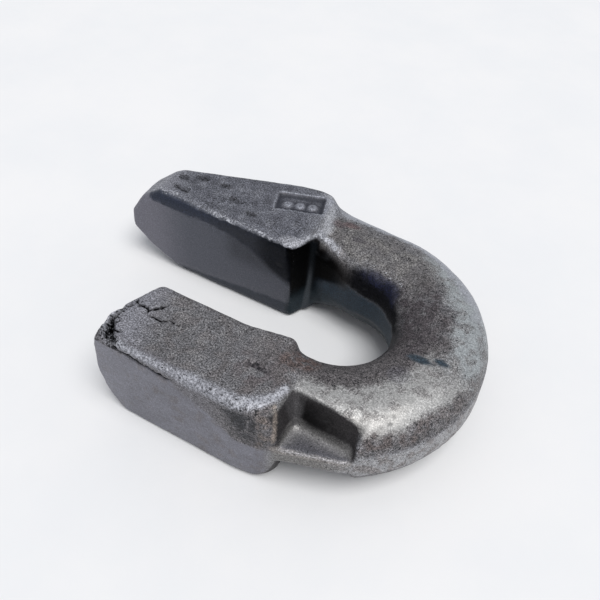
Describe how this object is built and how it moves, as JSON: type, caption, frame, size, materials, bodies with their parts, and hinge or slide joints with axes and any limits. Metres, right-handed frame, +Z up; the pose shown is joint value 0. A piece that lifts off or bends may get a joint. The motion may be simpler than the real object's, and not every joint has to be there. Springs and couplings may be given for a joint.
{
  "type": "forged lifting bail",
  "caption": "Raw forged steel lifting bail: a thick half-ring bow with a long and a short leg that end in blocky unmachined heads, and a webbed pocket beside the short head.",
  "frame": {"origin": "centre of the bounding box in plan, on the plane that the heads rest on", "axes": "+X along the legs towards the crown of the bow, +Y from the short leg to the long leg, +Z up out of the resting plane, along the die's stroke"},
  "size_m": [0.1489, 0.103, 0.036],
  "materials": {
    "forged_steel": "rough forging scale, dark grey, with smoother sheared flanks"
  },
  "bodies": {
    "root": {"forged_bail": "forged_steel"}
  },
  "joints": []
}
